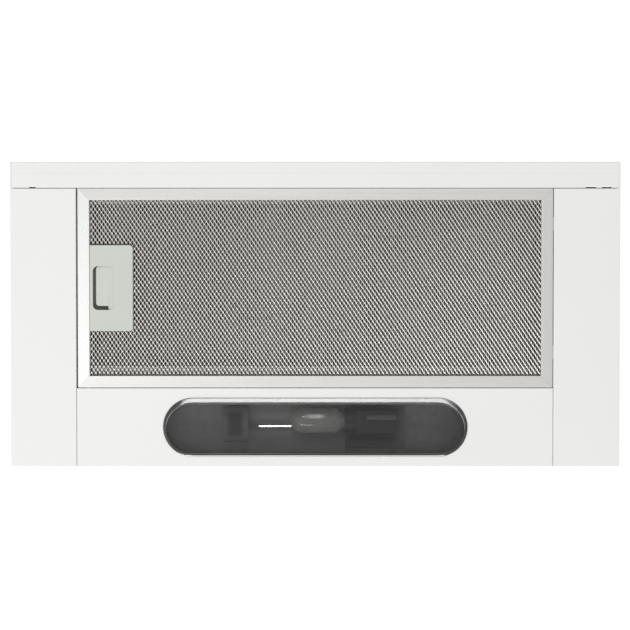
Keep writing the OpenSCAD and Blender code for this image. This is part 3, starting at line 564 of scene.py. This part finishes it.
soft = {}
folded = {
    "underside_panel_left": ("x+z-", "y-z-"), "underside_panel_right": ("x-z-", "y-z-"),
    "lamp_panel": ("y-z-", "x-z-", "x+z-"), "fascia_panel": ("y-z-", "y-z+"),
    "deck": (), "body_back": (), "side_wall_left": (), "side_wall_right": (),
}
for node, folds in folded.items():
    soft[node] = soften(node, folds=folds)
for node in ("fascia_carrier", "fascia_ends", "latch_plate", "control_bezel", "speed_knob", "light_knob",
             "cable_gland", "switch_block", "motor_box_front", "motor_box_back", "motor_box_left",
             "motor_box_right", "motor_box_top", "front_crossbar", "tray_floor", "tray_cover",
             "tray_arm_left", "tray_arm_right", "rail_outer_left", "rail_outer_right", "body_screws",
             "rail_inner_left", "rail_inner_right", "latch_guide", "filter_lugs", "catch_spring",
             "capacitor", "lampholder", "outlet_collar", "damper_flap_front", "damper_flap_back",
             "motor_bracket"):
    soft[node] = soften(node, cut=0.2)
# The housing gets the darker zinc: painted shade.
soft["lamp_housing"] = soften("lamp_housing", cut=0.2, finish=shaded_zinc)
soft["lamp_reflector"] = soften("lamp_reflector", cut=0, finish=lamp_satin)
for node in ("lamp_bulb", "scroll_left", "scroll_right", "motor_body", "impeller",
             "rail_cage_left", "rail_cage_right", "latch_spring", "tray_filter_frame"):
    soft[node] = soften(node, cut=0)
print("softened", len(soft), "nodes")

# %% [markdown]
# ## The frame of the grease filter
# The frame is aluminium strip rolled into a channel, cut at 45 degrees and folded round the mesh. Its
# face is not flat: it falls away a little towards the outside, so each side reflects another part of
# the room. A section is drawn once and swept along each side, with the ends pulled in for the mitre.

# %% Filter frame
def channel(slope):
    """The section of a side: how far in from the outer edge, and how far up from the face, in mm."""
    width = bar_width / MM
    height = (bar_hi.z - bar_lo.z) / MM
    outer = [(0.0, slope + 1.5), (0.03, slope + 0.3), (0.12, slope + 0.06), (0.3, slope),
             (0.42, slope - 0.01)]
    face = [(width * share, slope * (1 - share) ** 1.3) for share in (0.25, 0.5, 0.75, 0.92)]
    roll = [(width - 0.35, 0.06), (width - 0.1, 0.3), (width, 0.7), (width - 0.12, 1.1),
            (width - 0.5, 1.35), (width - 0.9, 1.3), (width - 1.0, slope + 0.95)]
    inside = [(1.0, slope + 1.3), (0.9, height - 0.9), (width * 0.8, height - 0.9),
              (width * 0.8, height), (0.4, height), (0.0, height - 0.4)]
    return outer + face + roll + inside


def filter_side(node, finish, slope=0.45, joint=0.06):
    """Sweeps the section along one side of the filter."""
    low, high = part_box(node)
    across = (high.x - low.x) > (high.y - low.y)
    along, inward = (0, 1) if across else (1, 0)
    centre = filter_lo.lerp(filter_hi, 0.5)
    outer_at_low = low[inward] < centre[inward]
    rings = []
    for end in (0, 1):
        ring = []
        for depth, rise in channel(slope):
            point = [0, 0, low.z + rise * MM]
            point[inward] = low[inward] + depth * MM if outer_at_low else high[inward] - depth * MM
            pull = (depth + joint) * MM
            point[along] = low[along] + pull if end == 0 else high[along] - pull
            ring.append(tuple(point))
        rings.append(ring)
    count = len(rings[0])
    points = rings[0] + rings[1]
    faces = [(i, (i + 1) % count, count + (i + 1) % count, count + i) for i in range(count)]
    faces += [tuple(range(count - 1, -1, -1)), tuple(range(count, 2 * count))]
    return piece("rolled_" + node, closed_mesh("rolled_" + node, points, faces, 30), finish, node)


# The side bars carry the lighter grey and the front and rear bars the darker one: painted light and shade.
for node, finish in (("filter_frame_front", bar_across_painted_dim), ("filter_frame_rear", bar_across_painted_dim),
                     ("filter_frame_left", bar_along_painted_bright), ("filter_frame_right", bar_along_painted_bright)):
    side = filter_side(node, finish)
    print(side.name, len(side.data.polygons), "faces")

# %% [markdown]
# ## Expanded mesh
# The filter is filled with expanded aluminium: foil that is slit and pulled open into diamonds, in
# several layers. Each strand is a flat ribbon, and pulling twists it, so half of the strands catch the
# light and the other half turn away. Here a row of strands is one ribbon that runs in zigzag across the
# filter, and its neighbours touch it at the tips. All the ribbons of a layer are computed at once.

# %% Expanded mesh
PITCH_X, PITCH_Y = 4.05 * MM, 5.97 * MM  # of one diamond
TIP_SHARE = 0.16  # how much of half a diamond its flat tip takes
WAVE = 0.05 * MM  # how unevenly the foil was pulled
WAVE_STEP = 0.12  # how fast the unevenness changes from tip to tip
WAVE_SHARE = 0.3


def expanded(node, ribbon, thick, lean, shift=(0, 0), seed=1, level=0.5, cut=None, finish=None):
    """Zigzag ribbons that fill a node's box: width, thickness and shift in mm, lean in degrees. Level is
    the height in the box, and cut is a start in x and two ends in y that the ribbons leave free."""
    low, high = (np.array(corner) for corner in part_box(node))
    draw = np.random.default_rng(seed)
    half_x, half_y = PITCH_X / 2, PITCH_Y / 2
    flat = TIP_SHARE * half_x
    tilt = math.radians(lean)
    section = np.array([(-ribbon / 2, -thick / 2), (ribbon / 2, -thick / 2),
                        (ribbon / 2, thick / 2), (-ribbon / 2, thick / 2)]) * MM
    turn = np.array([[math.cos(tilt), math.sin(tilt)], [-math.sin(tilt), math.cos(tilt)]])
    section = section @ turn
    reach = abs(section).max(axis=0)
    steps = int((high[0] - low[0]) / half_x)
    rows = int((high[1] - low[1] - 2 * reach[0]) / half_y)
    start_x = (low[0] + high[0] - steps * half_x) / 2
    start_y = (low[1] + high[1] - rows * half_y) / 2
    z = low[2] + (high[2] - low[2]) * level
    points, faces = [], []
    for row in range(rows):
        xs, ys = [], []
        for step in range(steps + 1):
            top = (step + row) % 2
            x = start_x + step * half_x
            y = start_y + (row + top) * half_y
            xs += [x - flat, x + flat]
            ys += [y, y]
        xs = np.clip(np.array(xs) + shift[0] * MM, low[0], high[0])
        ys = np.array(ys) + shift[1] * MM
        stretches = [slice(0, len(xs))]
        if cut is not None:
            if cut[1] - half_y < ys.mean() < cut[2] + half_y:
                first = int(np.searchsorted(xs, cut[0]))
                stretches = [slice(first, len(xs))]
        for stretch in stretches:
            x, y = xs[stretch], ys[stretch]
            wave = WAVE * np.cumsum(draw.normal(0, WAVE_STEP, len(x))).clip(-2, 2)
            ring = np.zeros((len(x), 4, 3))
            ring[:, :, 0] = x[:, None]
            ring[:, :, 1] = np.clip(y[:, None] + section[None, :, 0], low[1], high[1])
            ring[:, :, 2] = np.clip(z + wave[:, None] * WAVE_SHARE + section[None, :, 1], low[2], high[2])
            base = sum(len(block) for block in points)
            points.append(ring.reshape(-1, 3))
            index = base + np.arange(len(x) * 4).reshape(len(x), 4)
            quads = np.stack([index[:-1], np.roll(index[:-1], -1, 1), np.roll(index[1:], -1, 1),
                              index[1:]], -1)
            faces += quads.reshape(-1, 4).tolist()
            faces += [index[0][::-1].tolist(), index[-1].tolist()]
    mesh = mesh_from("expanded_" + node, np.concatenate(points), faces, 35)
    print(node, len(mesh.polygons), "faces in", rows, "ribbons")
    return piece("expanded_" + node, mesh, finish or mesh_aluminium, node)


# The finger pocket sinks into the mesh, so the ribbons behind it start at the latch plate's inner edge.
PLATE_LAP, POCKET_MARGIN = 1.2 * MM, 19 * MM
mesh_cut = (plate_hi.x - PLATE_LAP, plate_lo.y + POCKET_MARGIN, plate_hi.y - POCKET_MARGIN)
expanded("filter_mesh_lower", ribbon=1.75, thick=0.3, lean=16, seed=3, cut=mesh_cut)
expanded("filter_mesh_pack", ribbon=1.7, thick=0.26, lean=-66, shift=(0.85, 1.2), seed=5, level=0.42,
         cut=mesh_cut, finish=mesh_inner_painted_shade)
expanded("filter_mesh_upper", ribbon=1.2, thick=0.26, lean=52, shift=(0.4, 1.7), seed=8, cut=mesh_cut,
         finish=mesh_inner_painted_shade)
expanded("tray_filter_mesh", ribbon=1.6, thick=0.26, lean=-60, shift=(0.9, 0.3), seed=11,
         finish=mesh_inner_painted_shade)

# %% [markdown]
# ## The lamp lens
# The lens is a moulding with round ends that stands in a slot of the lamp panel. Its rim slopes: gently at
# the front, over several millimetres, and steeply on the other sides, so a section has one inset for the
# front and one for the rest. Each ring of the section is the same outline drawn closer in, and the rings
# are joined into one closed skin.
# Each band of the skin has its own look: smoked glass, the darker rim, and a pale ledge inside the rim,
# whose pale grey is a painted highlight.
# Along the rear edge, a narrow band has the white finish of the panel: a painted highlight, in the place of
# the white line the rim's outer slope would reflect. It is only a finish, so it is as white from every
# side.

# %% Outline of the lens
def stadium_ring(front, side, z, low, high, arc=28, parts=8):
    """Points round a shape with straight sides and round ends, at two insets in mm from a box."""
    radius = (high.y - low.y - (front + side) * MM) / 2
    middle_y = low.y + front * MM + radius
    straight = (high.x - low.x) / 2 - side * MM - radius
    ring = []
    for way in (1, -1):
        for i in range(arc + 1):
            angle = -math.pi / 2 + math.pi * i / arc
            ring.append((way * (straight + radius * math.cos(angle)),
                         middle_y + way * radius * math.sin(angle), z))
        ring += [(way * straight * (1 - 2 * k / parts), middle_y + way * radius, z)
                 for k in range(1, parts)]
    return ring


# %% Lens
# Each ring: the inset at the front, the inset elsewhere, the height, and the look of the band after it
GLASS, RIM, LEDGE_HIGHLIGHT, LIP_HIGHLIGHT = range(4)
outside = [
    (27, 27, 1.95, GLASS), (20, 20, 1.92, GLASS), (12, 9.5, 1.88, GLASS), (8, 4.6, 1.86, GLASS),
    (6.6, 3.3, 1.84, GLASS), (6.4, 3.1, 1.78, RIM), (6.2, 2.9, 1.58, RIM), (6.05, 2.8, 1.56, LEDGE_HIGHLIGHT),
    (5.9, 2.1, 1.58, RIM), (5.3, 1.98, 1.50, RIM), (4.6, 1.86, 1.34, RIM), (3.6, 1.74, 1.04, RIM),
    (2.6, 1.62, 0.73, RIM), (1.6, 1.5, 0.42, RIM), (0.7, 1.38, 0.14, RIM), (0.4, 1.3, 0.03, RIM),
    (0.25, 1.15, 0.0, RIM), (0.12, 0.58, 0.19, RIM), (0.08, 0.35, 0.26, RIM), (0.0, 0.0, 0.38, RIM),
    (0.0, 0.0, 0.88, RIM),
]
inside = [
    (2.7, 2.7, 0.9, GLASS), (2.7, 2.7, 8.6, GLASS), (3.9, 3.9, 8.6, GLASS), (4.2, 4.2, 3.1, GLASS),
    (6.0, 6.0, 3.0, GLASS), (12, 12, 3.0, GLASS), (20, 20, 3.05, GLASS), (27, 27, 3.1, GLASS),
]
section = outside + inside
rings = [stadium_ring(front, side, lens_lo.z + rise * MM, lens_lo, lens_hi)
         for front, side, rise, look in section]
count = len(rings[0])
faces = [(r * count + i, r * count + (i + 1) % count,
          (r + 1) * count + (i + 1) % count, (r + 1) * count + i)
         for r in range(len(rings) - 1) for i in range(count)]
faces += [tuple(range(count)), tuple(range(len(rings) * count - 1, (len(rings) - 1) * count - 1, -1))]
points = [point for ring in rings for point in ring]
lens = piece("moulded_lens", closed_mesh("moulded_lens", points, faces, 40), smoked_lens, "lamp_lens")

# %% Looks of the lens's bands
# The white band on the rear lip is a painted highlight.
LIP_REACH = 1.5 * MM  # how far in from the rear edge the white band may lie
LIP_INSETS = (0.5, 1.2)  # between which insets of the section
for finish in (lens_rim, ledge_painted_highlight, white_plastic):
    lens.data.materials.append(finish.material)
# Bands get their looks; on the rear lip the white finish is a painted highlight.
for band, (front, side, rise, look) in enumerate(section[:-1]):
    for polygon in lens.data.polygons[band * count:(band + 1) * count]:
        at_rear = polygon.center.y > lens_hi.y - LIP_REACH
        on_lip_highlight = at_rear and look == RIM and LIP_INSETS[0] < side < LIP_INSETS[1]
        polygon.material_index = LIP_HIGHLIGHT if on_lip_highlight else look
print("lens", len(lens.data.polygons), "faces")

# %% [markdown]
# ## Bright lines on the bulb
# A bright line lies beside the tip of the bulb, and a softer one on its glass. A flat polished piece shows
# a lamp only when it faces half-way between the way to the lamp and the way to the eye, so both pieces are
# turned like that, for the front strip and for this scene's own camera. From other sides the glints are
# gone, so they are a device of this scene and not what a round bulb does. What the line beside the tip is
# on the real lamp isn't certain: it is made as a flat wire.

# %% Bars along the hood
def swept_bar(name, section, ends, origin, side_way, up_way, finish, node, smooth=50):
    """A straight bar: a section of (side, up) pairs in mm, drawn along X between pairs of ends."""
    side_way, up_way = Vector(side_way), Vector(up_way)
    points, faces, count = [], [], len(section)
    for start, stop in ends:
        base = len(points)
        for x in (start, stop):
            corner = Vector((x, origin[1], origin[2]))
            points += [tuple(corner + side_way * a * MM + up_way * b * MM) for a, b in section]
        faces += [(base + i, base + (i + 1) % count, base + count + (i + 1) % count, base + count + i)
                  for i in range(count)]
        faces += [tuple(base + i for i in range(count - 1, -1, -1)),
                  tuple(base + count + i for i in range(count))]
    made = piece(name, closed_mesh(name, points, faces, smooth), finish, node, stands_for=False)
    print(name, "on", node, len(faces), "faces")
    return made


def to_glint(place):
    """Two ways for a flat piece at a place to show the front strip: along its face, and out of it."""
    to_lamp = (strip_front.location - place).normalized()
    to_eye = (camera.location - place).normalized()
    facing = (to_lamp + to_eye).normalized()
    return facing.cross(Vector((1, 0, 0))).normalized(), facing


# %% Wire at the bulb's tip
bulb_lo, bulb_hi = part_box("lamp_bulb")
bulb_y = (bulb_lo.y + bulb_hi.y) / 2
WIRE_SIDE, WIRE_UP = 5.2 * MM, 15 * MM  # from the bulb's middle, and above the underside
wire_at = Vector((bulb_lo.x - 16 * MM, bulb_y + WIRE_SIDE, under_z + WIRE_UP))
wire_ends = [(bulb_lo.x - 31 * MM, bulb_lo.x + 1 * MM)]
wire_section = [(-0.75, 0), (0.75, 0), (0.8, -0.15), (0.7, -0.4), (-0.7, -0.4), (-0.8, -0.15)]
swept_bar("bulb_wire", wire_section, wire_ends, wire_at, *to_glint(wire_at), bright_wire, "lamp_bulb", 10)

# %% Glint sheet on the bulb
# A metal sheet on the glass, faded at its edges: a painted highlight, turned to catch the front strip.
GLINT_SHEET_HALF_Y = 3.1 * MM
glint_sheet_at = Vector((bulb_lo.x + 25 * MM, bulb_y - 5 * MM, under_z + 8.4 * MM))
glint_sheet_finish = painted_fade("bulb_glint_sheet", (glint_sheet_at.x - 13 * MM, glint_sheet_at.y - GLINT_SHEET_HALF_Y),
                       (glint_sheet_at.x + 12 * MM, glint_sheet_at.y + GLINT_SHEET_HALF_Y),
                       (9 * MM, 3 * MM), 0.7, 0.6, 0.34, clear=True)
glint_sheet_finish.set(metallic=0.96 + 0.04 * glint_sheet_finish.noise(60, 2))
glint_sheet_section = [(-3.2, 0), (3.2, 0), (3.0, -0.2), (-3.0, -0.2)]
glint_sheet_ends = [(glint_sheet_at.x - 12 * MM, glint_sheet_at.x + 11 * MM)]
swept_bar("bulb_glint_sheet", glint_sheet_section, glint_sheet_ends, glint_sheet_at, *to_glint(glint_sheet_at), glint_sheet_finish,
          "lamp_bulb", 10)

# %% [markdown]
# ## Shaded pieces behind the lens
# Two shallow curved plates close off the ends of the lamp's space: one at the end of the reflector, and one
# behind the lampholder. Both are darker in the middle, in their finish, because the deep corners they
# stand in for aren't modelled. A low grey block holds the holder's terminals. These pieces are guesses at
# what shows through the lens.

# %% Plates and terminals
ACROSS, UP = (0, 1, 0), (0, 0, 1)


def oval(half_y, half_z, lift, steps=20, cap=1.5):
    """A section that is flat on top and round below, as (side, up) pairs in mm."""
    curve = [(half_y * math.cos(a), lift - half_z * math.sin(a)) for a in np.linspace(0, math.pi, steps)]
    return curve + [(-half_y, lift + cap), (half_y, lift + cap)]


holder_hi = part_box("lampholder")[1]
reflector_lo, reflector_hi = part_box("lamp_reflector")
lamp_y = (lens_lo.y + lens_hi.y) / 2
end_lo = Vector((reflector_lo.x - 24 * MM, lamp_y - 19 * MM))
end_hi = Vector((reflector_lo.x + 1 * MM, lamp_y + 17 * MM))
end_shade = painted_fade("reflector_end_shade", end_lo, end_hi, (9 * MM, 10 * MM), 0.05, 0.24)
swept_bar("reflector_end", oval(18, 4, 22), [(end_lo.x, end_hi.x)], (0, lamp_y - 1 * MM, under_z),
          ACROSS, UP, end_shade, "lampholder")
plate_back_lo = Vector((reflector_hi.x - 8 * MM, lamp_y - 25 * MM))
plate_back_hi = Vector((holder_hi.x + 11 * MM, lamp_y + 24 * MM))
plate_shade = painted_fade("holder_plate_shade", plate_back_lo, plate_back_hi, (16 * MM, 11 * MM), 0.015, 0.28)
swept_bar("holder_plate", oval(24, 3, 36), [(plate_back_lo.x, plate_back_hi.x)], (0, lamp_y, under_z),
          ACROSS, UP, plate_shade, "lampholder")
block_ends = [(holder_hi.x - 28 * MM, holder_hi.x + 1 * MM)]
swept_bar("terminal_block", oval(2.6, 1.2, 5.4, 9), block_ends, (0, lamp_y - 9.2 * MM, under_z),
          ACROSS, UP, lamp_grey, "lampholder")

# %% [markdown]
# ## The finger pocket of the latch
# A finger goes into a pocket in the latch plate and pulls it back. The CAD plate has the pocket with plain
# walls and a flat floor. Two pieces line that floor: a dark back, and over it a pale scoop that leaves the
# left and the rear edge of the back uncovered. The dark band is a nearly black plastic, and stands for the
# deep shadow on that side.

# %% Finger pocket
POCKET_FROM_EDGE = 39.5 * MM  # from the plate's inner edge
POCKET_SIZE = (20.6, 43.2)
plate_y = (plate_lo.y + plate_hi.y) / 2
pocket_lo = Vector((plate_hi.x - POCKET_FROM_EDGE, plate_y - POCKET_SIZE[1] / 2 * MM))
pocket_hi = pocket_lo + Vector(POCKET_SIZE) * MM
pocket_roof = under_z + 7.7 * MM
lap = 0.3 * MM  # the pieces reach this far behind the plate
CORNER = 5 * MM
whole = rounded_outline([(pocket_lo.x - lap, pocket_lo.y - lap, CORNER),
                         (pocket_hi.x + lap, pocket_lo.y - lap, CORNER),
                         (pocket_hi.x + lap, pocket_hi.y + lap, CORNER),
                         (pocket_lo.x - lap, pocket_hi.y + lap, CORNER)])
prism("pocket_back", whole, lambda x, y: pocket_roof - 0.5 * MM, pocket_roof + 0.2 * MM, pocket_shade,
      "latch_plate")
shadow_x, shadow_y = pocket_lo.x + 3.1 * MM, pocket_hi.y - 4 * MM  # the scoop's left and rear edges
step_x = pocket_hi.x - 5.2 * MM  # where its rear edge steps back
SLOPE = 0.13  # how much its floor rises towards the left
scoop = rounded_outline([(shadow_x, pocket_lo.y + lap, 3 * MM),
                         (pocket_hi.x + lap, pocket_lo.y - lap, CORNER),
                         (pocket_hi.x + lap, pocket_hi.y + lap, CORNER), (step_x, pocket_hi.y, 0.6 * MM),
                         (step_x, shadow_y, 0.6 * MM), (shadow_x, shadow_y, 3.4 * MM)])
prism("pocket_scoop", scoop, lambda x, y: under_z + 2 * MM + SLOPE * (pocket_hi.x - x), pocket_roof,
      grey_plastic, "latch_plate")
print("pocket, mm:", [round(v / MM, 1) for v in pocket_lo], [round(v / MM, 1) for v in pocket_hi])

# %% [markdown]
# ## The strip behind the fascia
# A strip of pale foam on the back of the fascia stops the tray rattling when it is pushed home. It is left
# out near the ends, where the slides show as dark windows in the seam.

# %% Foam strip
carrier_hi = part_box("fascia_carrier")[1]
reach = carrier_hi.x - 1 * MM
WINDOWS = [(-281.5, -274.5), (265.5, 276.5), (281.5, 291.5)]
stops = [-reach] + [x * MM for window in WINDOWS for x in window] + [reach]
foam_section = [(0, 0.3), (0.3, 0.32), (0.4, 0.42), (0.44, 0.6), (0.45, 4.4), (0.3, 4.7), (0, 4.8)]
swept_bar("foam_strip", foam_section, list(zip(stops[::2], stops[1::2])), (0, carrier_hi.y, under_z),
          ACROSS, UP, foam_grey, "fascia_carrier")
